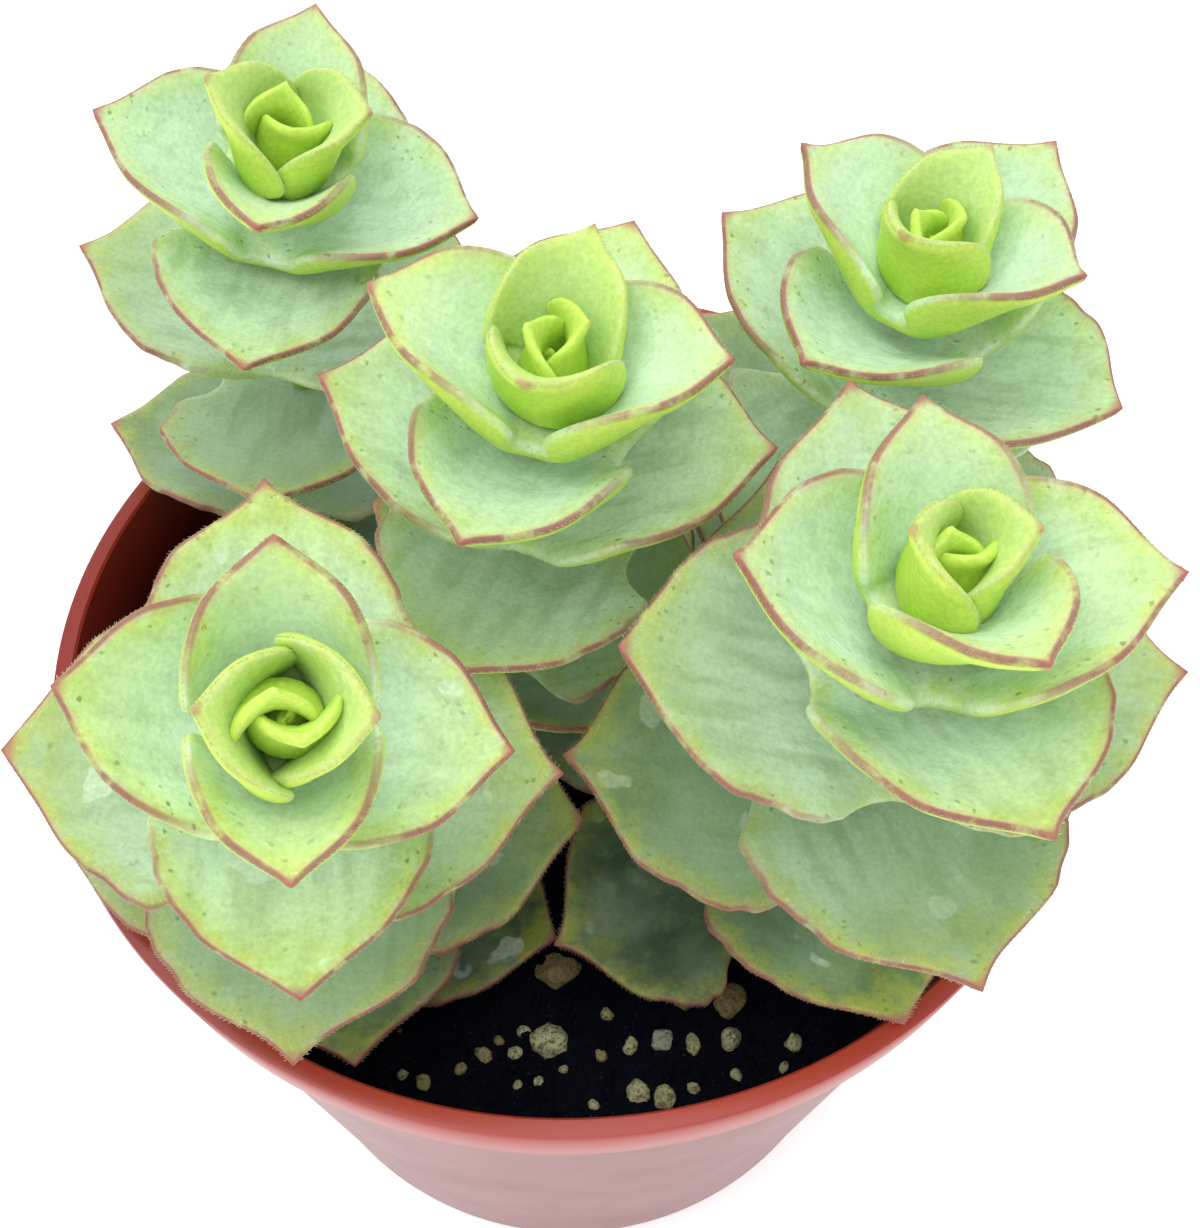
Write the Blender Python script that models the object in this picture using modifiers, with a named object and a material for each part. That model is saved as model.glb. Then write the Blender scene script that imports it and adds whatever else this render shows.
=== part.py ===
# A string of buttons, Crassula perforata, growing as five leafy stems in a red plastic pot.
# Metres, +Z up. The origin is the middle of the underside of the pot, the side seen from
# the front of the photograph is -Y, and stems and leaves are placed by eye and by measure.
import math
import random

import bmesh
import bpy
import numpy as np
from mathutils import Matrix, Vector

MM = 0.001

# Pot, in millimetres.
RIM_HEIGHT = 66.0
RIM_RADIUS = 45.0
MOUTH_RADIUS = 43.3
COLLAR_DROP = 6.3
COLLAR_FOOT_RADIUS = 43.9
BODY_TOP_RADIUS = 42.9
BASE_RADIUS = 32.0
BASE_EDGE = 3.6
WALL = 1.3
FLOOR = 1.8
DRAIN_RADIUS = 3.0
DRAIN_RING = 21.0
DRAIN_COUNT = 5
POT_SIDES = 48

# Soil, in millimetres.
SOIL_TOP = 44.0
SOIL_GAP = 0.3
HOLE_DEPTH = 9.0
HOLE_ROOM = 0.35
SOIL_SIDES = 30

# Stems and leaves, in millimetres.
STEM_FOOT_RADIUS = 1.9
STEM_TOP_RADIUS = 1.2
BUD_RADIUS = 1.5
BUD_HEIGHT = 2.6
LEAF_HALF_THICKNESS = 1.15
RINGS = 12
AROUND = 8

# Each stem: where the bud sits, where it leaves the soil, how far its middle bows aside,
# how far the leaf cross is turned, and then for each pair of leaves, from the bud down, how
# far below the bud it grows, how far a leaf reaches, how many degrees it rises, and how much
# more its first leaf rises than its second.
STEMS = {
    "leafy_stem_front_left": dict(
        bud=(-14.6, -37.2, 109.2),
        foot=(-17.5, -15.6),
        bow=(-3.5, 4.9),
        turn=-4.0,
        drift=1.0,
        skew=6.0,
        down=(0, 0.8, 3.4, 7.9, 13.9, 20.9, 28.5, 36.6, 45.2, 54.0),
        reach=(3.0, 6.6, 10.6, 13.8, 16.3, 18.5, 20.4, 21.4, 21.6, 19.4),
        rise=(86, 77, 63, 45, 33, 23, 19, 14, 11, 14),
        tilt=(0, 1, 0, -1.5, -3.5, 0, 1, 0, -1.5, 0),
    ),
    "leafy_stem_front_right": dict(
        bud=(23.1, -27.2, 109.5),
        foot=(14.0, -13.1),
        bow=(1.9, 0.3),
        turn=2.0,
        drift=1.1,
        skew=8.0,
        down=(0, 0.4, 1.5, 3.9, 7.7, 13.0, 19.6, 27.3, 35.9, 44.9),
        reach=(2.8, 5.8, 9.4, 13.6, 17.0, 19.0, 20.5, 21.4, 21.4, 20.0),
        rise=(87, 79, 67, 49, 38, 30, 22, 17, 12, 11),
        tilt=(0, 0, -1, -2.5, 1.5, -2, -1, 0, 0, 0),
    ),
    "leafy_stem_middle": dict(
        bud=(-0.7, -8.7, 107.3),
        foot=(-1.8, 0.7),
        bow=(-1.0, 0.4),
        turn=-19.0,
        drift=0.5,
        skew=5.0,
        down=(0, 0.6, 2.1, 5.1, 9.4, 15.2, 22.2, 30.1, 38.8, 47.9),
        reach=(2.8, 7.0, 12.2, 16.4, 17.6, 19.0, 19.8, 20.3, 20.2, 19.4),
        rise=(86, 74, 56, 43, 34, 29, 24, 17, 13, 12),
        tilt=(0, 0, -1, 3.0, -1, -2, 0, 0, 0, 0),
    ),
    "leafy_stem_back_right": dict(
        bud=(25.3, 2.2, 108.0),
        foot=(17.2, 12.8),
        bow=(2.4, -0.6),
        turn=-39.0,
        drift=0.1,
        skew=5.0,
        down=(0, 0.7, 2.2, 4.9, 9.1, 14.8, 21.9, 29.9, 38.6, 47.8),
        reach=(2.6, 6.1, 10.8, 15.1, 17.7, 19.2, 20.1, 20.5, 20.2, 19.4),
        rise=(87, 75, 60, 44, 38, 31, 22, 16, 13, 12),
        tilt=(0, 0, -2.5, 1, 0.5, 3, 0, 0, 0, 0),
    ),
    "leafy_stem_back_left": dict(
        bud=(-21.4, 15.8, 106.2),
        foot=(-19.8, 15.1),
        bow=(-3.8, 5.5),
        turn=-13.0,
        drift=1.4,
        skew=1.0,
        down=(0, 0.6, 2.4, 5.6, 10.2, 16.1, 23.1, 31.0, 39.6, 48.6),
        reach=(2.8, 7.0, 11.6, 14.7, 17.5, 18.6, 19.3, 20.1, 20.2, 15.5),
        rise=(86, 74, 59, 46, 35, 25, 23, 18, 14, 12),
        tilt=(0, 0, 0, -0.5, 1.5, 3, -0.5, 0, -1, 0),
    ),
}
# Leaves that neighbours push aside: stem, pair, leaf, then degrees up, millimetres shorter
# and degrees sideways.
PUSHED = {
    ("leafy_stem_front_left", 7, 0): (-3, 0, 0),
    ("leafy_stem_front_left", 8, 0): (-3, 0, 0),
    ("leafy_stem_front_right", 9, 1): (6, 0, 0),
    ("leafy_stem_middle", 6, 1): (6, 0, 0),
    ("leafy_stem_middle", 7, 0): (8, 6, 8),
    ("leafy_stem_middle", 7, 1): (20, 4, 0),
    ("leafy_stem_middle", 8, 1): (20, 6, -8),
    ("leafy_stem_middle", 9, 0): (-3, 0, 0),
    ("leafy_stem_middle", 9, 1): (-10, 1, -8),
    ("leafy_stem_back_right", 6, 1): (-10, 1, 0),
    ("leafy_stem_back_right", 8, 1): (15, 2.5, 0),
    ("leafy_stem_back_right", 9, 1): (6, 0, 0),
    ("leafy_stem_back_left", 9, 0): (0, 2.5, 0),
}

# On these two stems the bud's own pair lies front to back instead of left to right.
CROSS_FIRST = ("leafy_stem_middle", "leafy_stem_back_right")


def smooth(low, high, x):
    """Goes from 0 at low to 1 at high, easing at both ends."""
    t = min(1.0, max(0.0, (x - low) / (high - low)))
    return t * t * (3.0 - 2.0 * t)


def material(name, colour, roughness):
    made = bpy.data.materials.new(name)
    made.use_nodes = True
    shader = made.node_tree.nodes["Principled BSDF"]
    shader.inputs["Base Color"].default_value = (*colour, 1.0)
    shader.inputs["Roughness"].default_value = roughness
    made.diffuse_color = (*colour, 1.0)
    return made


def whole():
    """The collection that holds the finished pieces."""
    made = bpy.data.collections.get("string_of_buttons")
    if made is None:
        made = bpy.data.collections.new("string_of_buttons")
        bpy.context.scene.collection.children.link(made)
    return made


def place(name, bm, made):
    """Puts a finished mesh in the scene under its own name and material."""
    if bm.calc_volume(signed=True) < 0:
        bmesh.ops.reverse_faces(bm, faces=bm.faces)
    mesh = bpy.data.meshes.new(name)
    bm.to_mesh(mesh)
    bm.free()
    thing = bpy.data.objects.new(name, mesh)
    whole().objects.link(thing)
    thing.data.materials.append(made)
    return thing


def settle(thing):
    """Applies what the object's modifiers do."""
    graph = bpy.context.evaluated_depsgraph_get()
    mesh = bpy.data.meshes.new_from_object(thing.evaluated_get(graph), depsgraph=graph)
    thing.modifiers.clear()
    old = thing.data
    thing.data = mesh
    bpy.data.meshes.remove(old)


def drop(things):
    for thing in list(things):
        bpy.data.objects.remove(thing, do_unlink=True)


def combine(thing, operation, things):
    """Joins the things to this one, or cuts them from it, one after another."""
    for other in things:
        step = thing.modifiers.new(operation.lower(), "BOOLEAN")
        step.operation = operation
        step.object = other
        step.solver = "MANIFOLD"
        settle(thing)
    drop(things)


def keep_outside(thing):
    """Drops the small closed shells left inside where leaves shut off a hollow."""
    bm = bmesh.new()
    bm.from_mesh(thing.data)
    bmesh.ops.triangulate(bm, faces=bm.faces)
    islands = []
    left = set(bm.verts)
    while left:
        start = left.pop()
        island = {start}
        ahead = [start]
        while ahead:
            vert = ahead.pop()
            for edge in vert.link_edges:
                other = edge.other_vert(vert)
                if other in left:
                    left.discard(other)
                    island.add(other)
                    ahead.append(other)
        islands.append(island)
    islands.sort(key=len, reverse=True)
    for island in islands[1:]:
        bmesh.ops.delete(bm, geom=list(island), context="VERTS")
    bm.to_mesh(thing.data)
    bm.free()


def shade(thing, degrees):
    for face in thing.data.polygons:
        face.use_smooth = True
    thing.data.set_sharp_from_angle(angle=math.radians(degrees))


def wall_radius(height):
    """Inside radius of the pot at this height."""
    seat = RIM_HEIGHT - COLLAR_DROP
    if height >= seat:
        part = (height - seat) / COLLAR_DROP
        return BODY_TOP_RADIUS - WALL + part * (MOUTH_RADIUS - BODY_TOP_RADIUS + WALL)
    return BASE_RADIUS - WALL + (BODY_TOP_RADIUS - BASE_RADIUS) * height / seat


def lathe(name, profile, sides, made):
    """Turns a profile about +Z. At +X the profile runs down the outer side."""
    mesh = bpy.data.meshes.new(name)
    points = [(x * MM, 0.0, z * MM) for x, z in profile]
    edges = [(i, i + 1) for i in range(len(points) - 1)]
    mesh.from_pydata(points, edges, [])
    thing = bpy.data.objects.new(name, mesh)
    whole().objects.link(thing)
    turn = thing.modifiers.new("turn", "SCREW")
    turn.axis = "Z"
    turn.angle = math.tau
    turn.steps = sides
    turn.render_steps = sides
    turn.use_merge_vertices = True
    turn.merge_threshold = 0.00001
    turn.use_smooth_shade = False
    settle(thing)
    thing.data.materials.clear()
    thing.data.materials.append(made)
    return thing


def make_pot():
    """A round nursery pot: flat rim, a shallow collar, a tapering body and drain holes."""
    red = material("pot_red_plastic", (0.43, 0.05, 0.025), 0.35)
    seat = RIM_HEIGHT - COLLAR_DROP
    corner = []
    for i in range(4):
        turn = math.radians(10 + 80 * i / 3)
        corner.append(
            (
                BASE_RADIUS - BASE_EDGE * (1 - math.cos(turn)) + 0.2,
                BASE_EDGE * (1 - math.sin(turn)),
            )
        )
    profile = [
        (0.0, FLOOR),
        (wall_radius(FLOOR) - 2.0, FLOOR),
        (wall_radius(FLOOR + 1.6), FLOOR + 1.6),
        (wall_radius(seat), seat),
        (MOUTH_RADIUS, RIM_HEIGHT - 0.3),
        (MOUTH_RADIUS + 0.35, RIM_HEIGHT),
        (RIM_RADIUS - 0.4, RIM_HEIGHT),
        (RIM_RADIUS, RIM_HEIGHT - 0.5),
        (COLLAR_FOOT_RADIUS + 0.1, seat + 0.4),
        (COLLAR_FOOT_RADIUS - 0.2, seat),
        (BODY_TOP_RADIUS, seat - 0.2),
        *corner,
        (0.0, 0.0),
    ]
    pot = lathe("pot", profile, POT_SIDES, red)
    drains = []
    for i in range(DRAIN_COUNT):
        turn = math.tau * i / DRAIN_COUNT
        bm = bmesh.new()
        spot = Vector((DRAIN_RING * math.cos(turn), DRAIN_RING * math.sin(turn), 1.0))
        bmesh.ops.create_cone(
            bm,
            cap_ends=True,
            segments=16,
            radius1=DRAIN_RADIUS * MM,
            radius2=DRAIN_RADIUS * MM,
            depth=10 * MM,
            matrix=Matrix.Translation(spot * MM),
        )
        drain = place(f"drain_{i}", bm, red)
        drain.hide_render = True
        drain.display_type = "WIRE"
        drains.append(drain)
    combine(pot, "DIFFERENCE", drains)
    shade(pot, 35)
    return pot


def stem_point(stem, down):
    """A point on the middle line of a stem, this far below its bud."""
    bud = Vector(stem["bud"])
    foot = Vector((*stem["foot"], SOIL_TOP))
    span = (foot - bud).length
    part = down / span
    side = Vector((*stem["bow"], 0.0)) * 4.0 * part * (1.0 - part)
    if part > 1.0:
        slope = (foot - bud) / span - Vector((*stem["bow"], 0.0)) * 4.0 / span
        return foot + slope * (down - span)
    return bud + (foot - bud) * part + side


def stem_length(stem):
    return (Vector((*stem["foot"], SOIL_TOP)) - Vector(stem["bud"])).length


def stem_frame(stem, down, degrees):
    """Leaf direction, sideways and up along the stem, at this depth below the bud."""
    up = (stem_point(stem, down - 0.5) - stem_point(stem, down + 0.5)).normalized()
    east = Vector((1.0, 0.0, 0.0))
    east = (east - up * east.dot(up)).normalized()
    north = up.cross(east)
    turn = math.radians(degrees)
    out = east * math.cos(turn) + north * math.sin(turn)
    side = north * math.cos(turn) - east * math.sin(turn)
    return out, side, up


def pair_turn(name, stem, index):
    """Degrees the pair is turned about the stem: each lies across the one above."""
    odd = index % 2
    crossed = (index + (name in CROSS_FIRST)) % 2
    return stem["turn"] + stem["drift"] * index + stem["skew"] * (1 if odd else -1) + 90 * crossed


def midrib(reach, rise):
    """The middle line of one leaf from the stem to the tip: run, height and slope."""
    steps = np.linspace(0.0, 1.0, 33)
    bend = np.array([smooth(0.0, 0.36, t) - 0.16 * smooth(0.62, 1.0, t) for t in steps])
    slope = math.radians(rise)
    for _ in range(4):
        angle = slope * bend
        run = np.concatenate([[0.0], np.cumsum(np.cos((angle[1:] + angle[:-1]) / 2) / 32)])
        high = np.concatenate([[0.0], np.cumsum(np.sin((angle[1:] + angle[:-1]) / 2) / 32)])
        slope *= math.radians(rise) / max(0.02, math.atan2(high[-1], run[-1]))
    scale = reach / math.hypot(run[-1], high[-1])
    return steps, run * scale, high * scale, angle


def leaf_width(t):
    """Half width at this part of the length: fused waist, round shoulders, drawn-out tip."""
    if t < 0.38:
        return 0.60 + 0.40 * math.sin(math.pi / 2 * t / 0.38)
    v = (t - 0.38) / 0.62
    return (1 - v**1.75) * (1 - 0.24 * smooth(0.55, 1.0, v))


def pair_sizes(index, reach):
    """Half width, half thickness and cup of a pair: the young ones are narrow and wrapped."""
    width = reach * (0.44 + 0.10 * smooth(2.0, 6.5, index))
    thick = LEAF_HALF_THICKNESS * (0.52 + 0.48 * smooth(0.0, 4.0, index))
    cup = math.radians(78 - 62 * smooth(0.5, 6.0, index))
    return width, thick, cup


def make_pair(name, stem, index, made):
    """Two leaves grown together round the stem, one closed body with a tip at each end."""
    down = stem["down"][index]
    reach = stem["reach"][index]
    draw = random.Random(f"{name} {index}")
    tilt = stem["tilt"][index]
    pushed = [PUSHED.get((name, index, half), (0, 0, 0)) for half in (0, 1)]
    width, thick, cup = pair_sizes(index, reach)
    out, side, up = stem_frame(stem, down, pair_turn(name, stem, index))
    middle = stem_point(stem, down)
    ribs = []
    for (raised, shorter, _), sign in zip(pushed, (1, -1)):
        ribs.append(midrib(reach - shorter, stem["rise"][index] + sign * tilt + raised))
    waves = [(draw.uniform(0, math.tau), draw.uniform(0.6, 1.0)) for _ in range(4)]
    bm = bmesh.new()
    rings = RINGS if index > 1 else 10
    bmesh.ops.create_uvsphere(bm, u_segments=AROUND, v_segments=rings, radius=1.0)
    for vert in bm.verts:
        along = 1.0 - 2.0 * math.acos(max(-1.0, min(1.0, vert.co.z))) / math.pi
        angle = math.atan2(vert.co.y, vert.co.x)
        t = abs(along)
        half = 0 if along >= 0 else 1
        steps, run, high, slope = ribs[half]
        x = float(np.interp(t, steps, run))
        z = float(np.interp(t, steps, high))
        lean = float(np.interp(t, steps, slope))
        wide = width * leaf_width(t)
        deep = thick * (1.0 - 0.42 * smooth(0.1, 0.9, t)) * math.sqrt(max(0.0, 1.0 - t**9))
        c = math.cos(angle)
        s = math.sin(angle)
        across = math.copysign(abs(c) ** 0.75, c) * wide
        over = math.copysign(abs(s) ** 0.75, s) * deep * (0.8 if s > 0 else 1.1)
        phase, size = waves[half * 2 + (1 if across > 0 else 0)]
        edge = abs(across) / width
        over += 0.35 * size * math.sin(phase + 7.0 * t) * edge * edge * smooth(3.0, 6.0, index)
        over += 0.25 * edge * math.sin(phase + 3.0) * smooth(0.2, 0.6, t) * smooth(2.0, 5.0, index)
        wrap = cup * smooth(0.0, 0.42, t)
        if wrap > 0.001:
            radius = width / wrap
            swing = across / radius
            across = (radius - over) * math.sin(swing)
            over = radius - (radius - over) * math.cos(swing)
        run_out = x - math.sin(lean) * over
        rise = z + math.cos(lean) * over
        aside = math.radians(pushed[half][2]) * smooth(0.05, 0.6, t)
        run_out = run_out if half == 0 else -run_out
        ahead = run_out * math.cos(aside) - across * math.sin(aside)
        beside = run_out * math.sin(aside) + across * math.cos(aside)
        spot = middle + out * ahead + side * beside + up * rise
        vert.co = spot * MM
    return place(f"{name}_pair_{index}", bm, made)


def make_stem(name, stem, made):
    """The stem itself: a rod that thins upward and ends in the closed bud."""
    bm = bmesh.new()
    bmesh.ops.create_uvsphere(bm, u_segments=AROUND, v_segments=22, radius=1.0)
    top = -BUD_HEIGHT
    bottom = stem_length(stem) + HOLE_DEPTH - 1.0
    for vert in bm.verts:
        part = math.acos(max(-1.0, min(1.0, vert.co.z))) / math.pi
        down = top + (bottom - top) * (0.35 * part**2 + 0.65 * part**4)
        angle = math.atan2(vert.co.y, vert.co.x)
        radius = STEM_TOP_RADIUS + (STEM_FOOT_RADIUS - STEM_TOP_RADIUS) * part
        radius += (BUD_RADIUS - radius) * smooth(1.6, 0.2, down)
        radius *= math.sqrt(max(0.0, 1.0 - abs(2.0 * part - 1.0) ** 40))
        out, side, _ = stem_frame(stem, down, 0.0)
        spot = stem_point(stem, down)
        spot = spot + out * radius * math.cos(angle) + side * radius * math.sin(angle)
        vert.co = spot * MM
    return place(name, bm, made)


def make_leafy_stem(name, stem):
    """One stem with its leaf pairs, joined into a single body."""
    green = material(name + "_green", (0.36, 0.60, 0.34), 0.5)
    thing = make_stem(name, stem, green)
    pairs = [make_pair(name, stem, index, green) for index in range(1, len(stem["down"]))]
    combine(thing, "UNION", pairs)
    keep_outside(thing)
    shade(thing, 40)
    return thing


# Pumice and grit lying in the soil: x, y, how much stands proud, and size, in millimetres.
GRIT = (
    (-0.8, -21.5, 0.9, 3.5),
    (-1.3, -28.4, 0.9, 3.2),
    (-3.4, -27.3, 0.3, 1.4),
    (-4.2, -29.2, 0.3, 1.3),
    (-7.0, -29.4, 0.4, 1.6),
    (3.9, -25.8, 0.3, 1.4),
    (3.4, -29.5, 0.3, 1.3),
    (5.9, -28.5, 0.4, 1.6),
    (8.8, -27.8, 0.5, 2.0),
    (11.6, -28.2, 0.4, 1.8),
    (14.9, -27.6, 0.5, 2.1),
    (15.0, -24.0, 0.8, 3.1),
    (10.9, -24.1, 0.4, 1.6),
    (6.6, -33.0, 0.5, 2.2),
    (9.0, -33.2, 0.5, 2.1),
    (-12.3, -31.9, 0.4, 1.6),
    (20.5, -27.9, 0.4, 1.6),
    (30.0, -10.0, 0.6, 2.6),
    (33.0, 8.0, 0.5, 2.4),
    (-30.0, -6.0, 0.6, 2.8),
    (-33.0, 8.0, 0.5, 2.2),
    (-6.0, 18.0, 0.6, 2.6),
    (4.0, 30.0, 0.6, 2.8),
    (-14.0, 32.0, 0.5, 2.2),
    (21.0, 29.0, 0.5, 2.4),
    (8.0, -10.0, 0.5, 2.4),
)


def soil_height(x, y):
    """The soil heaves a little, and is lower toward the wall of the pot."""
    r = math.hypot(x, y)
    heave = 0.55 * math.sin(0.23 * x + 1.1) * math.cos(0.19 * y - 0.4)
    heave += 0.3 * math.sin(0.61 * x - 0.47 * y)
    return SOIL_TOP + heave * (1.0 - smooth(36.0, 41.0, r)) - 0.5 * smooth(30.0, 41.0, r)


def make_soil():
    """Dark peat filling the pot below its rim, with pumice in it and a hole for each stem."""
    peat = material("soil_peat", (0.006, 0.006, 0.012), 0.9)
    low = FLOOR + SOIL_GAP
    top = SOIL_TOP - 0.5
    profile = [(0.0, SOIL_TOP)]
    profile += [(wall_radius(top) * i / 9 - (SOIL_GAP if i == 9 else 0), SOIL_TOP) for i in range(1, 10)]
    profile += [(wall_radius(8.0) - SOIL_GAP, 8.0), (wall_radius(low) - 3.6, low)]
    profile += [(0.0, low)]
    soil = lathe("soil", profile, SOIL_SIDES, peat)
    for vert in soil.data.vertices:
        if vert.co.z > (SOIL_TOP - 0.01) * MM:
            vert.co.z = soil_height(vert.co.x / MM, vert.co.y / MM) * MM
    lumps = []
    draw = random.Random("grit")
    for i, (x, y, proud, size) in enumerate(GRIT):
        bm = bmesh.new()
        bmesh.ops.create_icosphere(bm, subdivisions=1, radius=0.5)
        spin = Matrix.Rotation(draw.uniform(0, math.tau), 4, "Z")
        shape = Matrix.Diagonal((draw.uniform(0.9, 1.15), draw.uniform(0.75, 1.0), 0.75, 1.0))
        spot = Vector((x, y, soil_height(x, y) + proud - 0.375 * size))
        for vert in bm.verts:
            vert.co *= draw.uniform(0.88, 1.1)
        bm.transform(Matrix.Translation(spot * MM) @ spin @ shape @ Matrix.Scale(size * MM, 4))
        lumps.append(place(f"grit_{i}", bm, peat))
    combine(soil, "UNION", lumps)
    holes = []
    for name, stem in STEMS.items():
        length = stem_length(stem)
        _, _, up = stem_frame(stem, length + 2.0, 0.0)
        spot = stem_point(stem, length - 3.0 + (HOLE_DEPTH + 3.0) / 2)
        bm = bmesh.new()
        bmesh.ops.create_cone(
            bm,
            cap_ends=True,
            segments=16,
            radius1=(STEM_FOOT_RADIUS + HOLE_ROOM) * MM,
            radius2=(STEM_FOOT_RADIUS + HOLE_ROOM) * MM,
            depth=(HOLE_DEPTH + 3.0) * MM,
            matrix=Matrix.Translation(spot * MM) @ up.to_track_quat("Z", "Y").to_matrix().to_4x4(),
        )
        hole = place("hole_" + name, bm, peat)
        hole.hide_render = True
        hole.display_type = "WIRE"
        holes.append(hole)
    combine(soil, "DIFFERENCE", holes)
    keep_outside(soil)
    shade(soil, 50)
    return soil


drop(bpy.data.objects)
make_pot()
make_soil()
for stem_name, stem_data in STEMS.items():
    make_leafy_stem(stem_name, stem_data)
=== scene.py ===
import math
import random

import bmesh
import bpy
import numpy as np
from mathutils import Matrix, Vector, noise


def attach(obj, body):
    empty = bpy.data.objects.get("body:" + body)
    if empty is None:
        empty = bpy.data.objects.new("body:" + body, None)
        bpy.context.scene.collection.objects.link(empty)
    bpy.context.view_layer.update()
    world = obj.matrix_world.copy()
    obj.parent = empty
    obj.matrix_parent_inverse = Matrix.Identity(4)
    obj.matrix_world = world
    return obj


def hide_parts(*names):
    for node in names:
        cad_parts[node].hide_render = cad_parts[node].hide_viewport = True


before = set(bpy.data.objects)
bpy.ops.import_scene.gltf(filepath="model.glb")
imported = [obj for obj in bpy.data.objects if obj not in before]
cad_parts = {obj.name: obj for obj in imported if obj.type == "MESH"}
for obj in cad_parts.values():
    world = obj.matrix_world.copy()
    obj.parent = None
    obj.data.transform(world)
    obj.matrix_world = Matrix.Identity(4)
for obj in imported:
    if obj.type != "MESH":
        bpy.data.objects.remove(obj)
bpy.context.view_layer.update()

# The pot: a round nursery pot moulded in red plastic in one shot. Its flat rim sits on a
# shallow collar, the wall tapers to a rounded foot, and five holes drain the floor.
MM = 0.001
RIM_HEIGHT = 66.0
RIM_RADIUS = 45.0
MOUTH_RADIUS = 43.3
COLLAR_DROP = 6.3
COLLAR_FOOT_RADIUS = 43.9
COLLAR_FOOT = RIM_HEIGHT - COLLAR_DROP
BODY_TOP_RADIUS = 42.9
BASE_RADIUS = 32.0
BASE_EDGE = 3.6
WALL = 1.3
FLOOR = 1.8
FLOOR_CORNER = 2.2
POT_STEPS = 180
CREASE = 38.0
DRAIN_HOLES = 5
DRAIN_RADIUS = 3.0
DRAIN_RING = 21.0
PUNCH_LENGTH = 10.0


class Amount:
    """A number that a material works out at each point, with ordinary arithmetic."""

    def __init__(self, tree, socket):
        self.tree = tree
        self.socket = socket

    def worked(self, operation, *terms):
        step = self.tree.nodes.new("ShaderNodeMath")
        step.operation = operation
        for slot, term in zip(step.inputs, terms):
            if isinstance(term, Amount):
                self.tree.links.new(term.socket, slot)
            else:
                slot.default_value = term
        return Amount(self.tree, step.outputs[0])

    def __add__(self, other):
        return self.worked("ADD", self, other)

    def __radd__(self, other):
        return self.worked("ADD", other, self)

    def __sub__(self, other):
        return self.worked("SUBTRACT", self, other)

    def __rsub__(self, other):
        return self.worked("SUBTRACT", other, self)

    def __mul__(self, other):
        return self.worked("MULTIPLY", self, other)

    def __rmul__(self, other):
        return self.worked("MULTIPLY", other, self)

    def ramp(self, low, high, start=0.0, end=1.0):
        """Eases from start at low to end at high."""
        step = self.tree.nodes.new("ShaderNodeMapRange")
        step.interpolation_type = "SMOOTHSTEP"
        self.tree.links.new(self.socket, step.inputs["Value"])
        if low > high:
            low, high, start, end = high, low, end, start
        for name, value in (("From Min", low), ("From Max", high), ("To Min", start), ("To Max", end)):
            step.inputs[name].default_value = value
        return Amount(self.tree, step.outputs["Result"])


class Finish:
    """One material, built node by node round its own Principled shader."""

    def __init__(self, name, **fixed):
        self.material = bpy.data.materials.new(name)
        self.material.use_nodes = True
        self.tree = self.material.node_tree
        self.shader = self.tree.nodes["Principled BSDF"]
        for socket, value in fixed.items():
            self.shader.inputs[socket.replace("_", " ")].default_value = value

    def node(self, kind, settings=None, inputs=None, out=0):
        """Any one node: its settings first, then what its sockets hold or are linked to."""
        made = self.tree.nodes.new("ShaderNode" + kind)
        for key, value in (settings or {}).items():
            setattr(made, key, value)
        for key, value in (inputs or {}).items():
            if isinstance(value, Amount):
                self.tree.links.new(value.socket, made.inputs[key])
            else:
                made.inputs[key].default_value = value
        return Amount(self.tree, made.outputs[out])

    def place(self):
        """Where the point lies on the object, in millimetres."""
        spot = self.node("TexCoord", out="Object")
        return self.node("VectorMath", {"operation": "SCALE"}, {0: spot, "Scale": 1 / MM})

    def measured(self, spot, way):
        """How far the point lies along X, Y or Z."""
        return self.node("SeparateXYZ", None, {0: spot}, out=way)

    def cloud(self, spot, size, detail, rough=0.5):
        """Soft uneven patches about this many millimetres across."""
        inputs = {"Vector": spot, "Scale": 1.0 / size, "Detail": detail, "Roughness": rough}
        return self.node("TexNoise", None, inputs)

    def painted(self, name):
        """An amount that the mesh carries at each of its points."""
        return self.node("Attribute", {"attribute_name": name}, out="Fac")

    def blend(self, share, under, over, mode="MIX"):
        """Lays this share of one colour over another."""
        made = self.tree.nodes.new("ShaderNodeMix")
        made.data_type = "RGBA"
        made.blend_type = mode
        # Of the Mix node's sockets, 0 is the factor, and 6, 7 and output 2 are the colours.
        for slot, value in ((0, share), (6, under), (7, over)):
            if isinstance(value, Amount):
                self.tree.links.new(value.socket, made.inputs[slot])
            else:
                made.inputs[slot].default_value = value if slot == 0 else (*value, 1.0)
        return Amount(self.tree, made.outputs[2])

    def bump(self, height, depth, strength, under=None):
        """A relief this many millimetres deep, on top of the one under it."""
        inputs = {"Height": height, "Strength": strength, "Distance": depth * MM}
        if under is not None:
            inputs["Normal"] = under
        return self.node("Bump", None, inputs)

    def feed(self, **links):
        """Links what varies over the surface to the shader, and gives the finished material."""
        for socket, value in links.items():
            self.tree.links.new(value.socket, self.shader.inputs[socket.replace("_", " ")])
        return self.material


def smooth(low, high, x):
    """Goes from 0 at low to 1 at high, easing at both ends."""
    t = np.clip((x - low) / (high - low), 0.0, 1.0)
    return t * t * (3.0 - 2.0 * t)


def wall_radius(height):
    """Inside radius of the pot at this height."""
    if height >= COLLAR_FOOT:
        part = (height - COLLAR_FOOT) / COLLAR_DROP
        return BODY_TOP_RADIUS - WALL + part * (MOUTH_RADIUS - BODY_TOP_RADIUS + WALL)
    return BASE_RADIUS - WALL + (BODY_TOP_RADIUS - BASE_RADIUS) * height / COLLAR_FOOT


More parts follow.
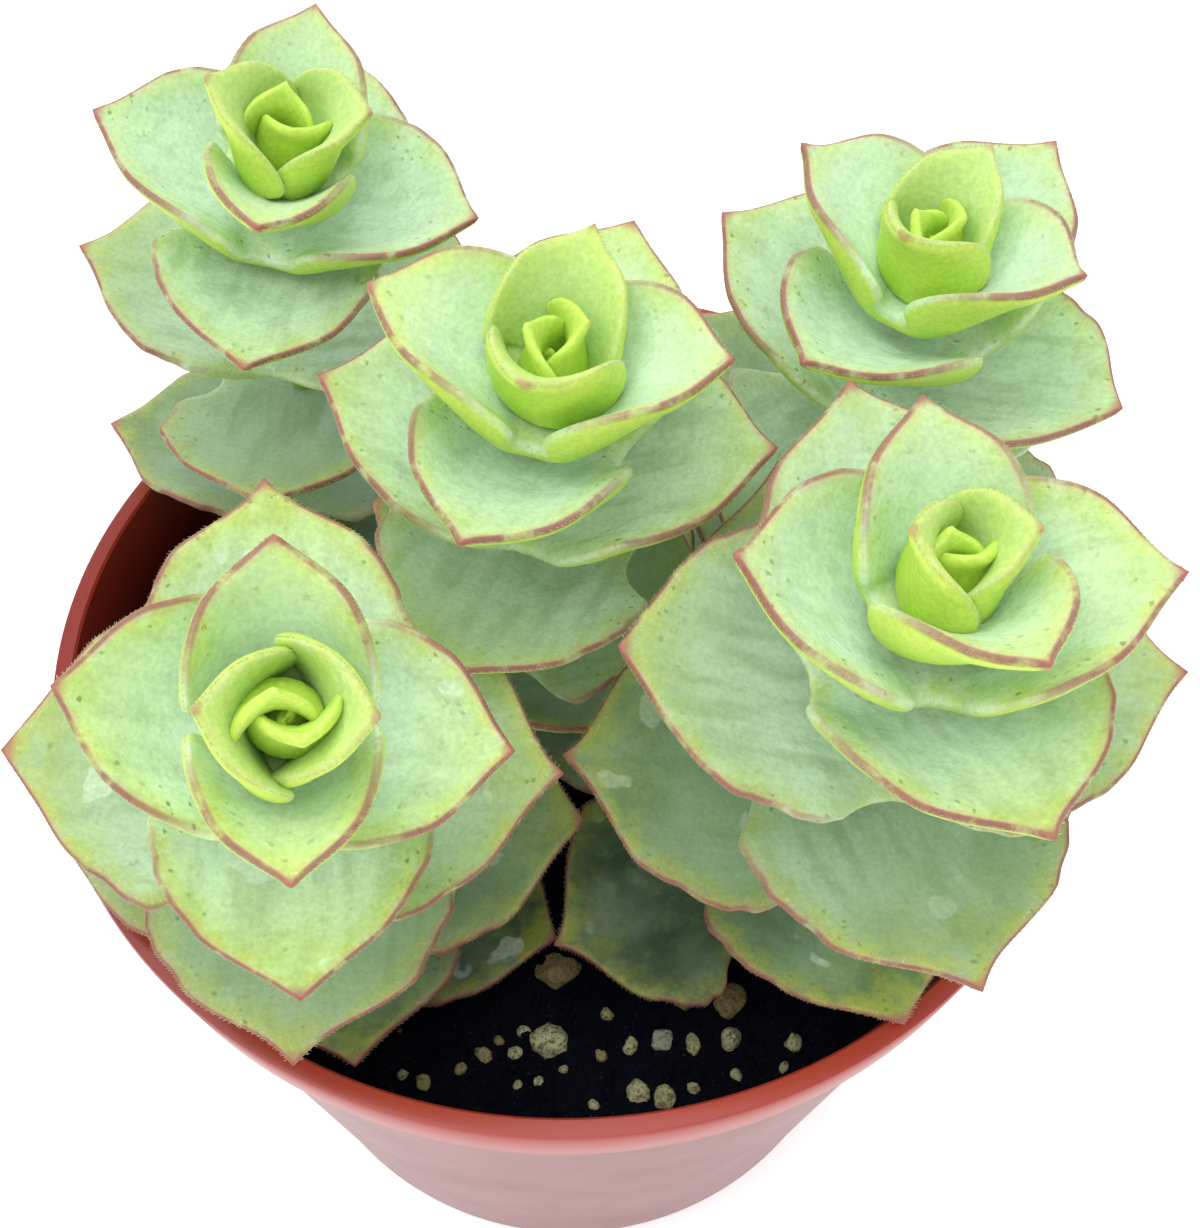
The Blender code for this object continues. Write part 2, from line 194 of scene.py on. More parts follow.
def pot_outline():
    """Half of the pot's section: floor, inside wall, rim, collar, outside wall and foot."""
    corner = wall_radius(FLOOR)
    points = [(0.0, FLOOR), (corner - 2.4, FLOOR), (corner - 0.9, FLOOR + 0.5)]
    for i in range(7):
        height = FLOOR + FLOOR_CORNER + (COLLAR_FOOT - FLOOR - FLOOR_CORNER) * i / 6
        points.append((wall_radius(height), height))
    # Each edge is eased by a few tenths: the mouth, the rim, the collar's foot, the step under it.
    for outward, below in ((-0.02, 0.5), (0.03, 0.2), (0.25, 0.0)):
        points.append((MOUTH_RADIUS + outward, RIM_HEIGHT - below))
    for inward, below in ((0.35, 0.0), (0.1, 0.1), (0.0, 0.4)):
        points.append((RIM_RADIUS - inward, RIM_HEIGHT - below))
    for outward, above in ((0.12, 0.4), (0.0, 0.1), (-0.25, 0.0)):
        points.append((COLLAR_FOOT_RADIUS + outward, COLLAR_FOOT + above))
    for outward, below in ((0.12, 0.1), (0.0, 0.4)):
        points.append((BODY_TOP_RADIUS + outward, COLLAR_FOOT - below))
    for i in range(1, 8):
        part = 1 - i / 8
        radius = BASE_RADIUS + (BODY_TOP_RADIUS - BASE_RADIUS) * part * 0.985 + 0.1
        points.append((radius, BASE_EDGE + (COLLAR_FOOT - 0.4 - BASE_EDGE) * part))
    for i in range(7):
        turn = math.radians(8 + 82 * i / 6)
        radius = BASE_RADIUS - BASE_EDGE * (1 - math.cos(turn)) + 0.2
        points.append((radius, BASE_EDGE * (1 - math.sin(turn))))
    return points + [(0.0, 0.0)]


def lathed(outline, steps):
    """A closed body spun from half of its section."""
    bm = bmesh.new()
    line = [bm.verts.new((x, 0.0, z)) for x, z in outline]
    edges = [bm.edges.new(pair) for pair in zip(line, line[1:])]
    bmesh.ops.spin(bm, geom=line + edges, cent=(0, 0, 0), axis=(0, 0, 1), angle=math.tau,
                   steps=steps, use_merge=True)
    bmesh.ops.remove_doubles(bm, verts=bm.verts, dist=0.001)
    bmesh.ops.recalc_face_normals(bm, faces=bm.faces)
    return bm


def into_scene(name, bm, *finishes):
    """Makes a mesh in millimetres a smooth-shaded object in metres, standing at the origin."""
    bmesh.ops.scale(bm, vec=(MM, MM, MM), verts=bm.verts)
    mesh = bpy.data.meshes.new(name)
    bm.to_mesh(mesh)
    bm.free()
    thing = bpy.data.objects.new(name, mesh)
    bpy.context.scene.collection.objects.link(thing)
    for finish in finishes:
        mesh.materials.append(finish)
    mesh.shade_smooth()
    return thing


def plastic_finish():
    """Red plastic, a little dusty, with painted light on the collar and rim and painted shade left and
    inside.
    """
    plastic = Finish("pot_red_plastic", IOR=1.45)
    spot = plastic.place()
    haze = plastic.cloud(spot, 9.0, 3.0)
    drawn_up = plastic.node("Mapping", None, {"Vector": spot, "Scale": (1.0, 1.0, 0.12)})
    scuff = plastic.cloud(drawn_up, 1.1, 4.0, 0.65)
    red = plastic.blend(haze, (0.20, 0.020, 0.020), (0.165, 0.016, 0.016))
    # Painted light: the collar and rim get a brighter red than the wall, as light falling on the rim; the
    # plastic is one red.
    collar = plastic.measured(spot, "Z").ramp(COLLAR_FOOT - 0.4, COLLAR_FOOT + 0.4)
    red = plastic.blend(collar, red, (0.36, 0.034, 0.022))
    # Painted shade: the red darkens toward the left side of the pot.
    painted_left_shade = plastic.measured(spot, "X").ramp(-8.0, -40.0)
    red = plastic.blend(painted_left_shade * 0.55, red, (0.13, 0.006, 0.004))
    # Painted shade: the inside wall and floor are made much darker, as the shade under the leaves.
    red = plastic.blend(plastic.painted("inside") * 0.85, red, (0.05, 0.002, 0.003))
    dust = plastic.cloud(spot, 0.5, 3.0, 0.7).ramp(0.62, 0.78)
    red = plastic.blend(dust * 0.10, red, (0.40, 0.20, 0.16))
    ripple = plastic.bump(scuff, 0.05, 0.25)
    ripple = plastic.bump(plastic.cloud(spot, 0.22, 2.0), 0.012, 0.5, ripple)
    return plastic.feed(Base_Color=red, Roughness=(0.27 + haze * 0.10) + dust * 0.15, Normal=ripple)


bm = lathed(pot_outline(), POT_STEPS)
# Marks the inside wall and floor for the finish's painted shade.
inside = bm.verts.layers.float.new("inside")
for vert in bm.verts:
    r = math.hypot(vert.co.x, vert.co.y)
    if FLOOR - 0.1 < vert.co.z < RIM_HEIGHT - 0.3 and r < wall_radius(vert.co.z) + 0.1:
        vert[inside] = 1.0
pot = into_scene("pot_moulded", bm, plastic_finish())
pot.data.set_sharp_from_angle(angle=math.radians(CREASE))
punches = []
for i in range(DRAIN_HOLES):
    turn = math.tau * i / DRAIN_HOLES
    middle = Matrix.Translation((DRAIN_RING * math.cos(turn), DRAIN_RING * math.sin(turn), 1.0))
    bm = bmesh.new()
    bmesh.ops.create_cone(bm, cap_ends=True, segments=32, radius1=DRAIN_RADIUS, radius2=DRAIN_RADIUS,
                          depth=PUNCH_LENGTH, matrix=middle)
    punches.append(into_scene(f"drain_punch_{i}", bm))
for punch in punches:
    cut = pot.modifiers.new("drain", "BOOLEAN")
    cut.operation = "DIFFERENCE"
    cut.solver = "EXACT"
    cut.object = punch
graph = bpy.context.evaluated_depsgraph_get()
pot.data = bpy.data.meshes.new_from_object(pot.evaluated_get(graph), depsgraph=graph)
pot.modifiers.clear()
for punch in punches:
    bpy.data.objects.remove(punch)
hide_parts("pot")
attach(pot, "root")

# The soil: damp black peat mix that fills the pot to 22 mm below the rim. Its top is loose
# crumbs over a lumpy bed that lies a little lower against the wall.
SOIL_TOP = 44.0
SOIL_FOOT = 2.1
SOIL_GAP = 0.3
SOIL_STEPS = 220
SOIL_RINGS = 90
CRUMBS = 900
CRUMB_JITTER = 0.08


def soil_height(x, y):
    """How high the soil's gentle heaves bring its top here."""
    r = math.hypot(x, y)
    heave = 0.55 * math.sin(0.23 * x + 1.1) * math.cos(0.19 * y - 0.4)
    heave += 0.3 * math.sin(0.61 * x - 0.47 * y)
    return SOIL_TOP + heave * float(1.0 - smooth(36.0, 41.0, r)) - 0.5 * float(smooth(30.0, 41.0, r))


def small_lumps(x, y):
    """The finer unevenness on top of the heaves."""
    return 0.42 * noise.noise(Vector((x * 1.5, y * 1.5, 9.0)))


def peat_finish():
    """Nearly black damp peat with a few paler grains."""
    peat = Finish("peat_damp", Specular_IOR_Level=0.15)
    spot = peat.place()
    grain = peat.cloud(spot, 0.45, 4.0, 0.7)
    damp = peat.cloud(spot, 4.0, 2.0)
    earth = peat.blend(grain.ramp(0.42, 0.70), (0.0014, 0.0019, 0.0095), (0.0060, 0.0070, 0.0170))
    earth = peat.blend(peat.cloud(spot, 0.30, 1.0).ramp(0.70, 0.76), earth, (0.045, 0.043, 0.050))
    return peat.feed(Base_Color=earth, Roughness=0.95 - damp * 0.35, Normal=peat.bump(grain, 0.35, 0.8))


peat = peat_finish()
soil_edge = wall_radius(SOIL_TOP - 0.5) - SOIL_GAP
outline = [(soil_edge * i / SOIL_RINGS, SOIL_TOP) for i in range(SOIL_RINGS + 1)]
outline += [(wall_radius(height) - SOIL_GAP, height) for height in (30.0, 8.0)]
outline += [(wall_radius(SOIL_FOOT) - BASE_EDGE, SOIL_FOOT), (0.0, SOIL_FOOT)]
bm = lathed(outline, SOIL_STEPS)
for vert in bm.verts:
    if vert.co.z > SOIL_TOP - 0.01:
        x, y, _ = vert.co
        lump = 0.55 * noise.noise(Vector((x * 0.55, y * 0.55, 3.0))) + small_lumps(x, y)
        free = float(1.0 - smooth(soil_edge - 1.0, soil_edge, math.hypot(x, y)))
        vert.co.z = soil_height(x, y) + lump * free
soil = into_scene("soil_bed", bm, peat)
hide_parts("soil")
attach(soil, "root")

draw = random.Random("crumbs")
bm = bmesh.new()
for i in range(CRUMBS):
    r = soil_edge * math.sqrt(draw.random()) - 0.8
    turn = draw.uniform(0, math.tau)
    x = r * math.cos(turn)
    y = r * math.sin(turn)
    size = 0.35 + 0.9 * draw.random() ** 3
    seat = Matrix.Translation((x, y, soil_height(x, y) + small_lumps(x, y) + 0.3 * size))
    lie = Matrix.Rotation(draw.uniform(0, math.tau), 4, (draw.random(), draw.random(), 0.6))
    shape = Matrix.Diagonal((draw.uniform(0.8, 1.6), draw.uniform(0.7, 1.1), draw.uniform(0.6, 0.9), 1.0))
    bmesh.ops.create_icosphere(bm, subdivisions=1, radius=size * 0.62, matrix=seat @ lie @ shape)
for vert in bm.verts:
    vert.co += Vector((draw.uniform(-1, 1), draw.uniform(-1, 1), draw.uniform(-1, 1))) * CRUMB_JITTER
crumbs = into_scene("soil_crumbs", bm, peat)
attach(crumbs, "root")

# The grit: broken pumice and a few ochre stones mixed into the peat so that it drains.
# The pieces are pale cream, pitted and dusty with soil where they sit in it.
SMALL_GRIT = 70
BIG_SIZE = 1.5
BROKEN_SIDES = 9
# The larger pieces: x, y, how far they stand proud, their size, and a tone from white to ochre.
GRIT = (
    (-0.8, -21.5, 0.9, 3.5, 0.9), (-1.3, -28.4, 0.9, 3.2, 0.2), (-3.4, -27.3, 0.3, 1.4, 0.1),
    (-4.2, -29.2, 0.3, 1.3, 0.3), (-7.0, -29.4, 0.4, 1.6, 0.6), (3.9, -25.8, 0.3, 1.4, 0.5),
    (3.4, -29.5, 0.3, 1.3, 0.7), (5.9, -28.5, 0.4, 1.6, 0.1), (8.8, -27.8, 0.5, 2.0, 0.0),
    (11.6, -28.2, 0.4, 1.8, 0.4), (14.9, -27.6, 0.5, 2.1, 0.2), (15.0, -24.0, 0.8, 3.1, 1.0),
    (10.9, -24.1, 0.4, 1.6, 0.8), (6.6, -33.0, 0.5, 2.2, 0.3), (9.0, -33.2, 0.5, 2.1, 0.4),
    (-12.3, -31.9, 0.4, 1.6, 0.7), (20.5, -27.9, 0.4, 1.6, 0.3), (30.0, -10.0, 0.6, 2.6, 0.4),
    (33.0, 8.0, 0.5, 2.4, 0.2), (-30.0, -6.0, 0.6, 2.8, 0.6), (-33.0, 8.0, 0.5, 2.2, 0.1),
    (-6.0, 18.0, 0.6, 2.6, 0.5), (4.0, 30.0, 0.6, 2.8, 0.2), (-14.0, 32.0, 0.5, 2.2, 0.8),
    (21.0, 29.0, 0.5, 2.4, 0.3), (8.0, -10.0, 0.5, 2.4, 0.4), (2.8, -34.0, 0.3, 1.0, 0.2),
    (11.5, -32.1, 0.3, 1.2, 0.5), (-14.1, -31.1, 0.3, 1.2, 0.6), (-2.0, -32.1, 0.3, 1.0, 0.3),
    (-3.9, -32.3, 0.2, 0.9, 0.5), (0.1, -31.1, 0.2, 0.9, 0.6), (-9.0, -30.7, 0.3, 1.1, 0.7),
    (19.5, -30.1, 0.3, 1.1, 0.3), (15.4, -30.7, 0.3, 1.2, 0.4),
)


def pumice_finish():
    """Pumice and ochre stone, pitted and partly soiled."""
    pumice = Finish("pumice_grit", Roughness=0.9)
    spot = pumice.place()
    tone = pumice.painted("tone")
    pits = pumice.cloud(spot, 0.35, 3.0, 0.6)
    stone = pumice.blend(tone.ramp(0.1, 0.9), (0.88, 0.86, 0.52), (0.50, 0.36, 0.14))
    stone = pumice.blend(tone.ramp(0.12, 0.0), stone, (0.72, 0.72, 0.68))
    # Painted shade: the pits are darkened, as shade inside them.
    stone = pumice.blend(pits.ramp(0.52, 0.36), stone, (0.26, 0.24, 0.12))
    stone = pumice.blend(pumice.cloud(spot, 1.1, 3.0).ramp(0.46, 0.62) * 0.55, stone, (0.52, 0.50, 0.24))
    soiled = pumice.cloud(spot, 0.6, 3.0, 0.7).ramp(0.55, 0.68)
    stone = pumice.blend(soiled * 0.60, stone, (0.02, 0.018, 0.016))
    return pumice.feed(Base_Color=stone, Normal=pumice.bump(pits, 0.25, 0.9))


draw = random.Random("grit pieces")
pieces = list(GRIT)
for i in range(SMALL_GRIT):
    r = (soil_edge - 1.5) * math.sqrt(draw.random())
    turn = draw.uniform(0, math.tau)
    pieces.append((r * math.cos(turn), r * math.sin(turn), 0.15, draw.uniform(0.45, 0.95), draw.random()))
bm = bmesh.new()
tones = []
for x, y, proud, size, tone in pieces:
    detail = 3 if size > BIG_SIZE else 2
    piece = bmesh.ops.create_icosphere(bm, subdivisions=detail, radius=0.5)["verts"]
    tones += [tone] * len(piece)
    # Each piece is a ball with sides broken flat at random, then pitted and set into the soil.
    ways = [Vector((draw.gauss(0, 1), draw.gauss(0, 1), draw.gauss(0, 1))) for _ in range(BROKEN_SIDES)]
    flats = [way.normalized() for way in ways]
    depths = [draw.uniform(0.30, 0.46) for _ in flats]
    wide = draw.uniform(0.95, 1.15)
    deep = draw.uniform(0.78, 0.98)
    spin = Matrix.Rotation(draw.uniform(0, math.tau), 3, "Z")
    shift = draw.uniform(0, 50)
    seat = Vector((x, y, soil_height(x, y) + proud - 0.30 * size + 0.15))
    for vert in piece:
        for flat, depth in zip(flats, depths):
            past = vert.co.dot(flat) - depth
            if past > 0:
                vert.co -= flat * past * 0.9
        swell = 1.0 + 0.16 * noise.noise(vert.co * 4.0 + Vector((shift, 0, 0)))
        swell += 0.08 * noise.noise(vert.co * 11.0 + Vector((shift, 7, 0)))
        vert.co *= swell
        vert.co = spin @ Vector((vert.co.x * wide, vert.co.y * deep, vert.co.z * 0.85)) * size * 1.12
        vert.co += seat
grit = into_scene("pumice_grit", bm, pumice_finish())
grit_tones = grit.data.attributes.new("tone", "FLOAT", "POINT")
grit_tones.data.foreach_set("value", np.array(tones, np.float32))
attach(grit, "root")

# The leafy stems: five upright shoots. Each leaf pair has grown together round the stem and
# lies across the pair above it. Young leaves are bright green and wrap the bud, old ones are
# broad, waxy and grey-green with red edges. They are joined to the stem as one living piece.
STEM_FOOT_RADIUS = 1.9
STEM_TOP_RADIUS = 1.2
STEM_SLIMMED = 0.72
STEM_TOP_GAP = 0.4
SCAR_HEIGHT = 0.12
SCAR_WIDTH = 1.6
HOLE_DEPTH = 9.0
LEAF_HALF_THICKNESS = 1.15
WIDEST = 0.38
OLDEST = 9.0
RIB_STEPS = 64
RINGS = 88
AROUND = 48
BUD_RINGS = 40
BUD_AROUND = 32
BARK_MARK = 90.0
TOOTH_GAP = 0.21
TOOTH_LENGTHS = (0.14, 0.26)
TOOTH_ROOT_RADIUS = 0.034
TOOTH_TIP_RADIUS = 0.008
# Each stem has the place of its bud, the place of its foot on the soil and how far it bows out
# between them. Turn, drift and skew, in degrees, set its leaf pairs round the stem: all of them,
# a little more with each, and this way and that in turn. Crossed is 1 where the youngest pair
# starts a quarter turn round. Lift raises the middle pairs, and tint is the range of colour.
# Then come, for each pair from the bud down, its depth below the bud, its reach, its rise and
# the tilt that raises one of its leaves and lowers the other. Pushed names single leaves by pair
# and half: degrees that one is raised, millimetres that it is shorter, degrees that it swings.
STEMS = {
    "leafy_stem_front_left": dict(
        bud=(-14.6, -37.2, 109.2), foot=(-17.5, -15.6), bow=(-3.5, 4.9),
        turn=-4.0, drift=1.0, skew=6.0, crossed=0, lift=0.3, tint=(0.35, 0.85),
        down=(0, 0.8, 3.4, 7.9, 13.9, 20.9, 28.5, 36.6, 45.2, 54.0, 62.0),
        reach=(3.0, 6.6, 10.6, 13.8, 16.3, 18.5, 20.4, 21.4, 21.6, 19.4, 18.5),
        rise=(86, 77, 63, 45, 33, 23, 19, 14, 11, 14, 8),
        tilt=(0, 1, 0, -1.5, -3.5, 0, 1, 0, -1.5, 0, 0),
        pushed={
            (6, 1): (0, 0, 6), (7, 0): (-3, 0, 0), (7, 1): (0, -0.5, -6), (8, 0): (-3, 0, 0),
            (8, 1): (0, 0, 7), (9, 1): (2, -1.8, 0), (10, 0): (-3, -1, -20), (10, 1): (0, 3.2, 0),
        },
    ),
    "leafy_stem_front_right": dict(
        bud=(23.1, -27.2, 109.5), foot=(14.0, -13.1), bow=(1.9, 0.3),
        turn=2.0, drift=1.1, skew=8.0, crossed=0, lift=1.0, tint=(0.20, 0.70),
        down=(0, 0.4, 1.5, 3.9, 7.7, 13.0, 19.6, 27.3, 35.9, 44.9, 56.0),
        reach=(2.8, 5.8, 9.4, 13.6, 17.0, 19.0, 20.5, 21.4, 21.4, 20.0, 19.5),
        rise=(87, 79, 67, 49, 38, 30, 22, 17, 12, 11, 5),
        tilt=(0, 0, -1, -2.5, 1.5, -2, -1, 0, 0, 0, 0),
        pushed={
            (3, 1): (0, -0.5, 9), (4, 1): (0, 0.8, 0), (5, 1): (2, 0, 5), (9, 1): (6, 0, 0),
            (10, 1): (-1.5, -1, 23),
        },
    ),
    "leafy_stem_middle": dict(
        bud=(-0.7, -8.7, 107.3), foot=(-1.8, 0.7), bow=(-1.0, 0.4),
        turn=-19.0, drift=0.5, skew=5.0, crossed=1, lift=2.2, tint=(0.15, 0.65),
        down=(0, 0.6, 2.1, 5.1, 9.4, 15.2, 22.2, 30.1, 38.8, 47.9),
        reach=(2.8, 7.0, 12.2, 16.4, 17.6, 19.0, 19.8, 20.3, 20.2, 19.4),
        rise=(86, 74, 56, 43, 34, 29, 24, 17, 13, 12),
        tilt=(0, 0, -1, 3.0, -1, -2, 0, 0, 0, 0),
        pushed={
            (5, 0): (6, 0, 6), (6, 1): (6, 0, 0), (7, 0): (8, 6, 8), (7, 1): (20, 4, 0),
            (8, 1): (20, 6, -8), (9, 0): (-3, 0, 0), (9, 1): (-10, 1, -8),
        },
    ),
    "leafy_stem_back_right": dict(
        bud=(25.3, 2.2, 108.0), foot=(17.2, 12.8), bow=(2.4, -0.6),
        turn=-39.0, drift=0.1, skew=5.0, crossed=1, lift=2.2, tint=(0.0, 0.30),
        down=(0, 0.7, 2.2, 4.9, 9.1, 14.8, 21.9, 29.9, 38.6, 47.8),
        reach=(2.6, 6.1, 10.8, 15.1, 17.7, 19.2, 20.1, 20.5, 20.2, 19.4),
        rise=(87, 75, 60, 44, 38, 31, 22, 16, 13, 12),
        tilt=(0, 0, -2.5, 1, 0.5, 3, 0, 0, 0, 0),
        pushed={(6, 1): (-10, 1, 0), (7, 1): (7, 0, -4), (8, 1): (15, 2.5, 0), (9, 1): (6, 0, 0)},
    ),
    "leafy_stem_back_left": dict(
        bud=(-21.4, 15.8, 106.2), foot=(-19.8, 15.1), bow=(-3.8, 5.5),
        turn=-13.0, drift=1.4, skew=1.0, crossed=0, lift=2.0, tint=(0.0, 0.35),
        down=(0, 0.6, 2.4, 5.6, 9.8, 13.1, 23.1, 31.0, 39.6, 48.6),
        reach=(2.8, 7.0, 11.6, 14.7, 17.5, 18.6, 19.3, 20.1, 20.2, 15.5),
        rise=(86, 74, 59, 46, 35, 25, 23, 18, 14, 12),
        tilt=(0, 0, 0, -0.5, 1.5, 3, -0.5, 0, -1, 0),
        pushed={(4, 0): (-3, -1.2, -8), (5, 1): (4, 0, 0), (9, 0): (0, 2.5, 0)},
    ),
}


def stem_point(stem, down):
    """A point on the middle line of a stem, this far below its bud."""
    bud = np.array(stem["bud"])
    foot = np.array((*stem["foot"], SOIL_TOP))
    bow = np.array((*stem["bow"], 0.0))
    span = np.linalg.norm(foot - bud)
    part = down / span
    if part > 1.0:
        return foot + ((foot - bud) / span - bow * 4.0 / span) * (down - span)
    return bud + (foot - bud) * part + bow * 4.0 * part * (1.0 - part)


def stem_frame(stem, down, degrees):
    """Leaf direction, sideways and up along the stem, at this depth below the bud."""
    up = stem_point(stem, down - 0.5) - stem_point(stem, down + 0.5)
    up /= np.linalg.norm(up)
    east = np.array((1.0, 0.0, 0.0)) - up * up[0]
    east /= np.linalg.norm(east)
    north = np.cross(up, east)
    turn = math.radians(degrees)
    return east * math.cos(turn) + north * math.sin(turn), north * math.cos(turn) - east * math.sin(turn), up


def midrib(reach, rise, curl):
    """The middle line of one leaf from the stem to the tip: part, run, height and slope."""
    steps = np.linspace(0.0, 1.0, RIB_STEPS + 1)
    bend = smooth(0.0, 0.30, steps) - curl * smooth(0.50, 1.0, steps)
    slope = math.radians(rise)
    # The steepest slope is found by trial, so that the tip comes to the rise asked for.
    for _ in range(4):
        angle = slope * bend
        between = (angle[1:] + angle[:-1]) / 2
        run = np.concatenate([[0.0], np.cumsum(np.cos(between) / RIB_STEPS)])
        high = np.concatenate([[0.0], np.cumsum(np.sin(between) / RIB_STEPS)])
        slope *= math.radians(rise) / max(0.02, math.atan2(high[-1], run[-1]))
    scale = reach / math.hypot(run[-1], high[-1])
    return steps, run * scale, high * scale, angle


class LeafPair:
    """Two leaves grown together: gives the place of any point of their skin."""

    def __init__(self, name, stem, index):
        self.index = index
        crossed = (index + stem["crossed"]) % 2
        turn = stem["turn"] + stem["drift"] * index + stem["skew"] * (1 if index % 2 else -1) + 90 * crossed
        # A lifted pair springs from higher up the stem and rises less, so its tips stay near.
        lift = stem["lift"] * (self.aged(1.0, 3.0) * self.aged(8.0, 5.0))
        slope = math.radians(stem["rise"][index])
        run = stem["reach"][index] * math.cos(slope)
        high = stem["reach"][index] * math.sin(slope) - lift
        self.reach = math.hypot(run, high)
        rise = math.degrees(math.atan2(high, run))
        curl = 0.42 - 0.26 * self.aged(2.0, 5.0)
        self.pushed = [stem["pushed"].get((index, half), (0, 0, 0)) for half in (0, 1)]
        self.ribs = []
        for (raised, shorter, _), sign in zip(self.pushed, (1, -1)):
            self.ribs.append(midrib(self.reach - shorter, rise + sign * stem["tilt"][index] + raised, curl))
        draw = random.Random(f"{name} {index}")
        self.waves = np.array([(draw.uniform(0, math.tau), draw.uniform(0.6, 1.0)) for _ in range(4)])
        self.points = np.array([draw.uniform(0.28, 0.60) for _ in range(2)])
        self.thick = LEAF_HALF_THICKNESS * (0.62 + 0.38 * self.aged(0.0, 3.0))
        # Young leaves are cupped round the bud, narrow at the root and wound a little in a spiral.
        self.cup = math.radians(82 - 64 * self.aged(1.0, 8.0))
        self.root = 0.55 + 0.25 * self.aged(0.5, 2.5)
        self.hug = 0.27 * self.aged(3.0, 1.0)
        self.width = self.reach * (0.44 + 0.10 * self.aged(2.0, 6.5))
        self.width *= 0.55 + 0.45 * self.cup / math.sin(self.cup)
        self.axes = stem_frame(stem, stem["down"][index] - lift, turn)
        self.middle = stem_point(stem, stem["down"][index] - lift)

    def aged(self, first, last):
        """Goes from 0 to 1 between these two pairs, counted down from the bud."""
        return float(smooth(first, last, self.index))

    def half_width(self, along, beside=1.0):
        """From the midrib to the margin: a waist at the stem, a wide blade, a point, and ripples."""
        t = np.abs(along)
        v = np.clip((t - WIDEST) / (1.0 - WIDEST), 0.0, 1.0)
        narrow = 0.80 - 0.10 * self.aged(0.5, 3.0)
        waist = narrow + (1.0 - narrow) * smooth(0.0, WIDEST, t)
        point = np.where(along < 0, self.points[1], self.points[0])
        blade = (1 - v**2.3) * (1 - point * smooth(0.60, 0.97, v))
        which = (along < 0) * 2 + (beside > 0)
        phase = self.waves[which, 0]
        ripple = 0.026 * np.sin(phase * 3 + 13.0 * t) + 0.018 * np.sin(phase * 5 + 27.0 * t)
        ripple = ripple + 0.008 * np.sin(phase + 61.0 * t)
        ripple = ripple * self.aged(2.5, 6.0) * smooth(0.15, 0.4, t)
        return self.width * np.where(t < WIDEST, waist, blade) * (1.0 + ripple)

    def half_depth(self, t):
        """Half the leaf's thickness, which thins toward the tip and closes there."""
        return self.thick * (1.0 - 0.42 * smooth(0.1, 0.9, t)) * np.sqrt(np.clip(1.0 - t**9, 0, 1))

    def skin(self, along, across, over):
        """Points in millimetres for places along the pair, across it and above its middle."""
        t = np.abs(along)
        half = (along < 0).astype(int)
        one, other = self.ribs
        x, z, lean = (np.where(half == 0, np.interp(t, one[0], one[k]), np.interp(t, other[0], other[k]))
                      for k in (1, 2, 3))
        # The blade waves toward its margins, the more the older it is.
        which = half * 2 + (across > 0)
        phase = self.waves[which, 0]
        size = self.waves[which, 1]
        edge = np.abs(across) / self.width
        grown = self.aged(3.0, 6.0)
        over = over + 0.35 * size * np.sin(phase + 7.0 * t) * edge * edge * grown
        over = over + 0.25 * edge * np.sin(phase + 3.0) * smooth(0.2, 0.6, t) * self.aged(2.0, 5.0)
        over = over + 0.10 * np.sin(11.0 * t + phase * 2) * edge * grown
        # The blade is cupped, the youngest with a twist that wraps one leaf round the other.
        wrap = np.maximum(self.cup * (self.root + (1.0 - self.root) * smooth(0.0, 0.28, t)), 0.001)
        radius = self.width / wrap
        hug = self.hug * np.tanh(along * 6.0)
        swing = across / radius + hug
        over = over - 1.2 * hug * swing
        across = (radius - over) * np.sin(swing)
        over = radius - (radius - over) * np.cos(swing)
        # The cupped blade follows its midrib out from the stem, one half this way, one that way.
        run_out = x - np.sin(lean) * over
        rise = z + np.cos(lean) * over
        aside = np.radians(np.where(half == 0, self.pushed[0][2], self.pushed[1][2])) * smooth(0.05, 0.6, t)
        run_out = np.where(half == 0, run_out, -run_out)
        ahead = run_out * np.cos(aside) - across * np.sin(aside)
        beside = run_out * np.sin(aside) + across * np.cos(aside)
        out, side, up = self.axes
        return self.middle + ahead[:, None] * out + beside[:, None] * side + rise[:, None] * up


# What each point of a stem or leaf carries for its finish: millimetres to the leaf's margin, upper
# face 1 or lower face -1, part of the way to the tip, age, colour within the tint, millimetres across.
PAINTS = ("margin", "face", "along", "age", "luck", "across")


def sphere_angles(bm):
    """How far along and how far round each point of an unshaped ball lies."""
    co = np.array([vert.co[:] for vert in bm.verts])
    return 1.0 - 2.0 * np.arccos(np.clip(co[:, 2], -1, 1)) / math.pi, np.arctan2(co[:, 1], co[:, 0])


def faced_out(bm):
    """Turns the faces of a closed mesh outward."""
    if bm.calc_volume(signed=True) < 0:
        bmesh.ops.reverse_faces(bm, faces=bm.faces)
    return bm


def pair_mesh(pair, luck):
    """The skin of one leaf pair, with what its finish needs to know at each point."""
    bm = bmesh.new()
    around, rings = (BUD_AROUND, BUD_RINGS) if pair.index < 2 else (AROUND, RINGS)
    bmesh.ops.create_uvsphere(bm, u_segments=around, v_segments=rings, radius=1.0)
    along, angle = sphere_angles(bm)
    t = np.abs(along)
    c = np.cos(angle)
    s = np.sin(angle)
    wide = pair.half_width(along, c)
    deep = pair.half_depth(t)
    # Older leaves are fuller toward their edges. All have a flat, hollowed top and a round underside.
    full = 1.0 - 0.32 * pair.aged(0.5, 3.5)
    across = np.copysign(np.abs(c) ** full, c) * wide
    over = np.copysign(np.abs(s) ** 0.90, s) * deep * np.where(s > 0, 0.8, 1.35)
    hollow = 0.30 * (1.0 - np.abs(c)) ** 1.5 * smooth(0.15, 0.5, t) * (s > 0) * deep
    for vert, spot in zip(bm.verts, pair.skin(along, across, over - hollow)):
        vert.co = spot
    margin = np.minimum(wide - np.abs(across), (1.0 - t) * pair.reach * 0.8)
    lucks = np.where(along < 0, luck[0], luck[1])
    layers = [bm.verts.layers.float.new(name) for name in PAINTS]
    for i, vert in enumerate(bm.verts):
        values = (margin[i], s[i], t[i], pair.index / OLDEST, lucks[i], across[i])
        for layer, value in zip(layers, values):
            vert[layer] = float(value)
    return faced_out(bm)


